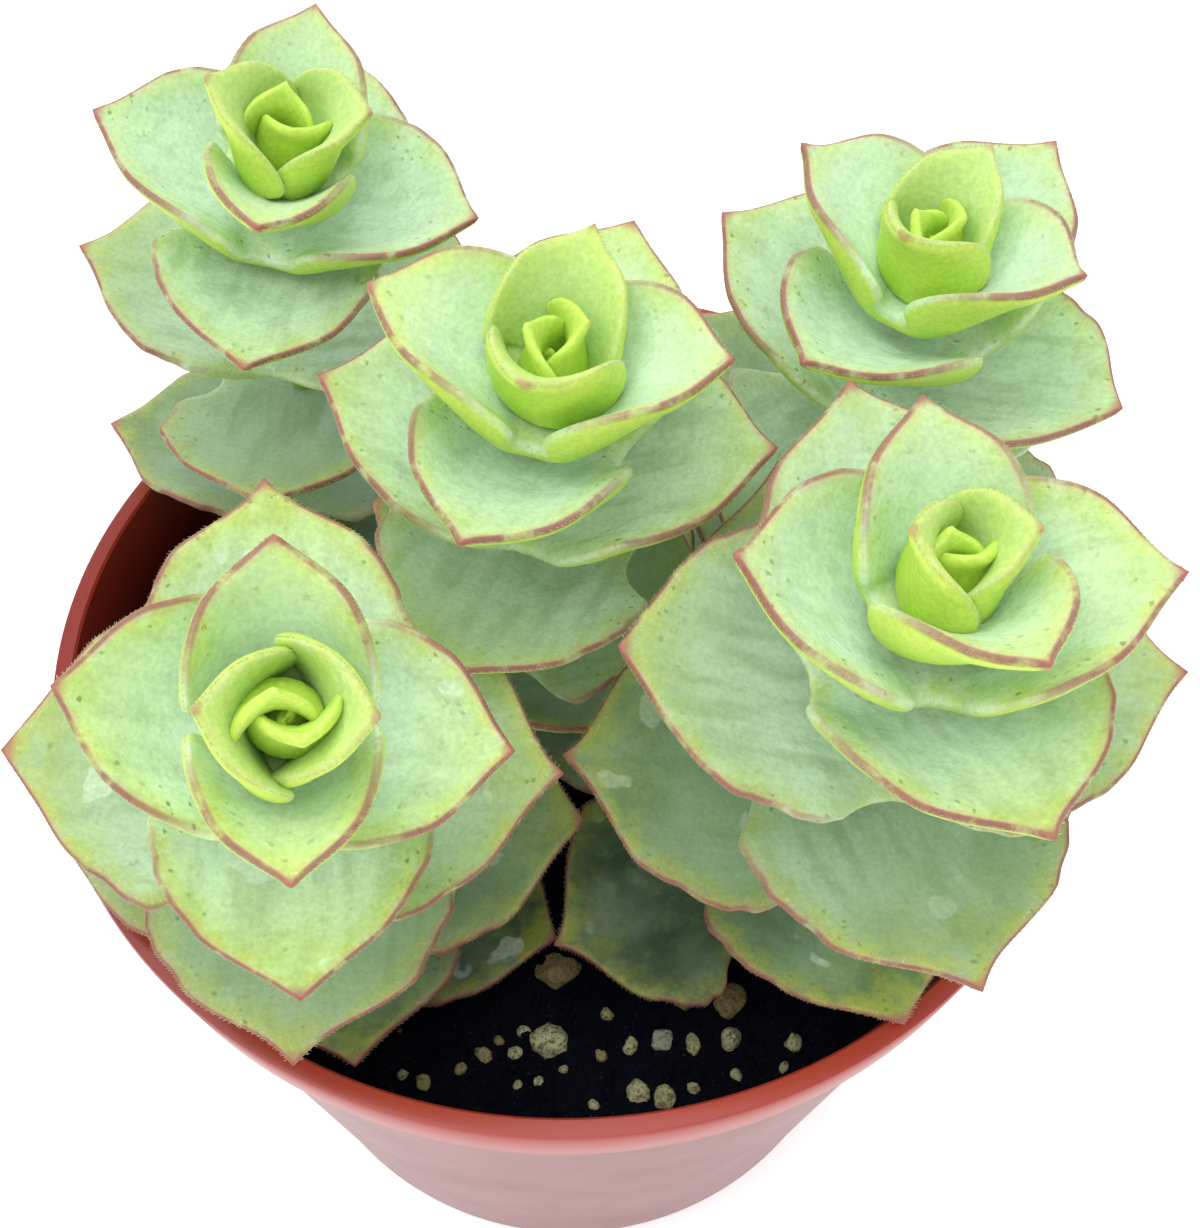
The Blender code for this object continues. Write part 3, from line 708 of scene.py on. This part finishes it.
def stem_mesh(stem):
    """The stem: a rod that thins upward, with a ring scar under each leaf pair."""
    bm = bmesh.new()
    bmesh.ops.create_uvsphere(bm, u_segments=32, v_segments=180, radius=1.0)
    along, angle = sphere_angles(bm)
    part = (1.0 - along) / 2.0
    length = float(np.linalg.norm(np.array((*stem["foot"], SOIL_TOP)) - np.array(stem["bud"])))
    bottom = length + HOLE_DEPTH - 1.0
    layers = [bm.verts.layers.float.new(name) for name in PAINTS]
    for i, vert in enumerate(bm.verts):
        down = STEM_TOP_GAP + (bottom - STEM_TOP_GAP) * part[i]
        radius = STEM_TOP_RADIUS + (STEM_FOOT_RADIUS - STEM_TOP_RADIUS) * part[i]
        radius *= STEM_SLIMMED
        nearest = min(abs(down - pair_down) for pair_down in stem["down"])
        radius += SCAR_HEIGHT * math.exp(-((nearest / SCAR_WIDTH) ** 2))
        radius += 0.06 * noise.noise(Vector((math.cos(angle[i]) * 2, math.sin(angle[i]) * 2, down * 0.7)))
        radius *= math.sqrt(max(0.0, 1.0 - abs(along[i]) ** 60))
        out, side, _ = stem_frame(stem, down, 0.0)
        spot = stem_point(stem, down) + out * radius * math.cos(angle[i])
        vert.co = spot + side * radius * math.sin(angle[i])
        for layer, value in zip(layers, (BARK_MARK, -1.0, 0.0, min(1.0, down / 60.0), 0.5, 0.0)):
            vert[layer] = value
    return faced_out(bm)


def teeth_mesh(pair, draw):
    """The fringe of minute pale teeth that the leaf margins carry, leaning toward the tip."""
    bm = bmesh.new()
    count = int(pair.reach * 1.15 / TOOTH_GAP)
    under = np.full(count, -0.12)
    for half in (1, -1):
        for sign in (1, -1):
            jog = np.array([draw.random() for _ in range(count)]) * 0.7
            t = np.clip((np.arange(count) + jog) / count, 0.02, 0.975)
            wide = pair.half_width(t * half, sign)
            roots = pair.skin(t * half, sign * wide * 0.985, under)
            ends = pair.skin(t * half, sign * wide * 1.02 + sign * 0.05, under)
            further = np.clip(t + 0.02, 0, 1) * half
            nexts = pair.skin(further, sign * pair.half_width(further, sign), under)
            for root, end, ahead in zip(roots, ends, nexts):
                way = Vector(end - root).normalized() + Vector(ahead - end).normalized() * 0.45
                tall = draw.uniform(*TOOTH_LENGTHS)
                turn = way.to_track_quat("Z", "Y").to_matrix().to_4x4()
                centre = Vector(root) + way.normalized() * tall * 0.55
                bmesh.ops.create_cone(bm, cap_ends=True, segments=3, radius1=TOOTH_ROOT_RADIUS,
                                      radius2=TOOTH_TIP_RADIUS, depth=tall,
                                      matrix=Matrix.Translation(centre) @ turn)
    return bm


def leaf_finish():
    """Waxy leaf skin that ages from yellow-green in the bud to stained grey-green, red at the edge."""
    leaf = Finish(
        "leaf_waxy_green", IOR=1.42, Specular_IOR_Level=0.45, Subsurface_Weight=0.15,
        Subsurface_Radius=(0.9, 1.3, 0.35), Subsurface_Scale=0.0012,
    )
    spot = leaf.place()
    margin, face, along, age, luck, across = [leaf.painted(name) for name in PAINTS]
    broad = leaf.cloud(spot, 5.5, 2.0)
    patchy = leaf.cloud(spot, 1.9, 3.0, 0.6)
    fine = leaf.cloud(spot, 0.40, 3.0, 0.65)
    upper = face.ramp(-0.25, 0.05)
    # The wax on the upper face: bud, young leaf, grown leaf, old leaf, then painted shade on the lowest
    # ones.
    tip_grown = leaf.blend(luck, (0.52, 0.71, 0.46), (0.60, 0.78, 0.32))
    tip_old = leaf.blend(luck, (0.21, 0.30, 0.17), (0.23, 0.31, 0.11))
    # Painted light: grown and old leaves are paler toward the stem, as light in the shade there, and darker
    # toward the tip, partly painted shade and partly their own olive colour.
    to_tip = along.ramp(0.30, 0.90)
    grown = leaf.blend(to_tip, (0.78, 0.95, 0.83), tip_grown)
    old = leaf.blend(to_tip, (0.42, 0.57, 0.43), tip_old)
    wax = leaf.blend(age.ramp(0.06, 0.17), (0.50, 0.76, 0.040), (0.50, 0.70, 0.19))
    wax = leaf.blend(age.ramp(0.17, 0.36), wax, grown)
    wax = leaf.blend(age.ramp(0.50, 0.84), wax, old)
    # The lowest pairs are darker, partly their own dull colour and partly painted shade; the pair under all
    # the rest is nearly black with painted shade.
    wax = leaf.blend(age.ramp(0.80, 1.0) * 0.80, wax, (0.12, 0.19, 0.10))
    wax = leaf.blend(age.ramp(1.0, 1.1) * 0.65, wax, (0.035, 0.065, 0.045))
    # Broad pale clouds, darker patches, and streaks that run lengthwise.
    wax = leaf.blend(broad.ramp(0.35, 0.68) * age.ramp(0.15, 0.4) * 0.36, wax, (0.45, 0.61, 0.46))
    wax = leaf.blend(patchy.ramp(0.50, 0.72) * age.ramp(0.15, 0.5) * 0.35, wax, (0.33, 0.47, 0.20))
    lengthwise = leaf.node("CombineXYZ", None, {0: across * 0.62, 1: along * 2.6, 2: luck * 37.0})
    streaks = leaf.cloud(lengthwise, 1.0, 3.0, 0.55)
    streak_green = leaf.blend(age, (0.38, 0.60, 0.30), (0.16, 0.26, 0.12))
    wax = leaf.blend(streaks.ramp(0.42, 0.68) * age.ramp(0.15, 0.70) * 0.40, wax, streak_green)
    # The underside is a plainer green, and the margins and tips are yellower.
    under = leaf.blend(age.ramp(0.2, 0.75), (0.50, 0.74, 0.08), (0.38, 0.54, 0.14))
    skin = leaf.blend(face.ramp(0.0, -0.40), wax, under)
    near = margin.ramp(3.6, 0.3) * patchy.ramp(0.30, 0.62, 0.25, 1.0)
    near_green = leaf.blend(age.ramp(0.3, 0.9), (0.58, 0.72, 0.12), (0.40, 0.46, 0.07))
    skin = leaf.blend(near * (0.38 + luck * 0.40), skin, near_green)
    tipward = along.ramp(0.62, 0.95) * age.ramp(0.35, 0.8) * luck * upper
    skin = leaf.blend(tipward * patchy.ramp(0.35, 0.60) * 0.75, skin, (0.42, 0.45, 0.06))
    band = margin.ramp(1.6, 0.4) * face.ramp(-0.30, -0.60)
    skin = leaf.blend(band * 0.75, skin, (0.60, 0.74, 0.14))
    # Dark specks, pale stains, and a frost of fine dots at the margin.
    dots = leaf.node("TexVoronoi", None, {"Vector": spot, "Scale": 1.0})
    specks = (dots + fine * 0.55).ramp(0.50, 0.38) * leaf.cloud(spot, 2.6, 2.0).ramp(0.40, 0.58)
    specks = specks * margin.ramp(5.0, 0.6, 0.12, 0.75) * age.ramp(0.2, 0.45) * upper
    skin = leaf.blend(specks, skin, (0.16, 0.27, 0.05))
    stains = leaf.cloud(spot, 4.2, 2.0, 0.4).ramp(0.66, 0.69) * luck.ramp(0.35, 0.75)
    stains = stains * age.ramp(0.25, 0.45) * margin.ramp(0.8, 2.0)
    skin = leaf.blend(stains * (0.35 + fine * 0.5) * upper, skin, (0.74, 0.86, 0.74))
    frost = leaf.cloud(spot, 0.16, 1.0).ramp(0.60, 0.72) * margin.ramp(2.2, 0.3) * upper
    skin = leaf.blend(frost * 0.35, skin, (0.80, 0.88, 0.66))
    # Red that flushes toward the tip: a pink zone, the red edge line and the tip itself.
    uneven = leaf.cloud(spot, 2.0, 3.0, 0.6).ramp(0.30, 0.52, 0.35, 1.0)
    flush = (along + age * 0.55).ramp(0.55, 1.0) * uneven
    pink = margin.ramp(1.1, 0.25) * upper * age.ramp(0.18, 0.38)
    skin = leaf.blend(pink * flush * 0.35, skin, (0.50, 0.25, 0.17))
    edge_line = margin.ramp(0.38, 0.06) * face.ramp(-0.50, -0.25) * age.ramp(0.17, 0.36)
    skin = leaf.blend(edge_line * flush * 0.85, skin, (0.27, 0.062, 0.075))
    skin = leaf.blend(along.ramp(0.94, 0.985) * age.ramp(0.08, 0.28) * 0.70, skin, (0.38, 0.11, 0.10))
    # The stem's own green bark, then a fine grain and dents over everything.
    bark = leaf.blend(age.ramp(0.35, 0.9), (0.34, 0.46, 0.10), (0.22, 0.29, 0.08))
    skin = leaf.blend(margin.ramp(BARK_MARK - 40.0, BARK_MARK - 30.0), skin, bark)
    grain = leaf.blend(fine.ramp(0.30, 0.70), (0.80, 0.80, 0.80), (1.16, 1.16, 1.16))
    skin = leaf.blend(0.45, skin, grain, "MULTIPLY")
    dent = leaf.bump(leaf.cloud(spot, 3.0, 1.5), 0.45, 0.6)
    dent = leaf.bump(fine, 0.07, 0.5, dent)
    dent = leaf.bump(leaf.cloud(spot, 0.12, 1.0), 0.012, 0.5, dent)
    return leaf.feed(Base_Color=skin, Roughness=(0.46 - stains * 0.16) + fine * 0.10, Normal=dent)


def tooth_finish():
    """Pale yellow-green of the margin teeth."""
    tooth = Finish("margin_teeth", Roughness=0.5)
    cloudy = tooth.cloud(tooth.place(), 3.0, 1.0)
    return tooth.feed(Base_Color=tooth.blend(cloudy, (0.66, 0.74, 0.44), (0.50, 0.56, 0.26)))


def join_on(whole, part):
    """Adds a part to the mesh that it has grown on, and clears the part away."""
    carry = bpy.data.meshes.new("carry")
    part.to_mesh(carry)
    part.free()
    whole.from_mesh(carry)
    bpy.data.meshes.remove(carry)


leaf_skin = leaf_finish()
tooth_skin = tooth_finish()
for stem_name, stem in STEMS.items():
    draw = random.Random("leaves " + stem_name)
    whole = bmesh.new()
    fringe = bmesh.new()
    join_on(whole, stem_mesh(stem))
    for index in range(len(stem["down"])):
        pair = LeafPair(stem_name, stem, index)
        join_on(whole, pair_mesh(pair, (draw.uniform(*stem["tint"]), draw.uniform(*stem["tint"]))))
        if index > 1:
            join_on(fringe, teeth_mesh(pair, draw))
    shoot = into_scene(stem_name + "_shoot", whole, leaf_skin)
    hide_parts(stem_name)
    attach(shoot, "root")
    comb = into_scene(stem_name + "_teeth", fringe, tooth_skin)
    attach(comb, "root")

# The studio: a plain near-white floor, a broad soft light overhead, and the camera close
# above the front of the pot, looking down into the plants. Places here are in metres.
PAPER_HALF = 3000.0
LAMP_PLACE = (-0.20, -0.05, 0.90)
LAMP_AIM = (0.0, 0.0, 0.08)
LAMP_SIZE = 1.0
LAMP_POWER = 5.6
SKY_STRENGTH = 0.95
CAMERA_PLACE = (0.00274, -0.0893, 0.188)
CAMERA_DOWN = 52.9
CAMERA_ROLL = 0.8

bm = bmesh.new()
bmesh.ops.create_grid(bm, x_segments=1, y_segments=1, size=PAPER_HALF)
paper = Finish(
    "studio_floor", Roughness=0.75, Base_Color=(0.93, 0.93, 0.93, 1.0),
    Emission_Color=(1.0, 1.0, 1.0, 1.0), Emission_Strength=0.42,
)
floor = into_scene("studio_floor", bm, paper.material)
sky = bpy.data.worlds.new("studio")
bpy.context.scene.world = sky
sky.use_nodes = True
sky.node_tree.nodes["Background"].inputs["Color"].default_value = (0.97, 0.985, 1.0, 1.0)
sky.node_tree.nodes["Background"].inputs["Strength"].default_value = SKY_STRENGTH

lamp = bpy.data.lights.new("overhead_softbox", "AREA")
lamp.shape = "DISK"
lamp.size = LAMP_SIZE
lamp.energy = LAMP_POWER
lamp.color = (1.0, 1.0, 0.98)
holder = bpy.data.objects.new("overhead_softbox", lamp)
bpy.context.scene.collection.objects.link(holder)
holder.location = LAMP_PLACE
holder.rotation_euler = (Vector(LAMP_AIM) - Vector(LAMP_PLACE)).to_track_quat("-Z", "Y").to_euler()

view = bpy.context.scene.view_settings
view.view_transform = "Standard"
view.look = "None"
view.exposure = 0.0
lens = bpy.data.cameras.new("photo_camera")
lens.lens = 50.0
lens.sensor_width = 36.0
lens.clip_start = 0.005
camera = bpy.data.objects.new("photo_camera", lens)
bpy.context.scene.collection.objects.link(camera)
tipped = Matrix.Rotation(math.radians(90 - CAMERA_DOWN), 4, "X")
rolled = Matrix.Rotation(math.radians(CAMERA_ROLL), 4, "Z")
camera.matrix_world = Matrix.Translation(CAMERA_PLACE) @ (tipped @ rolled)
bpy.context.scene.camera = camera
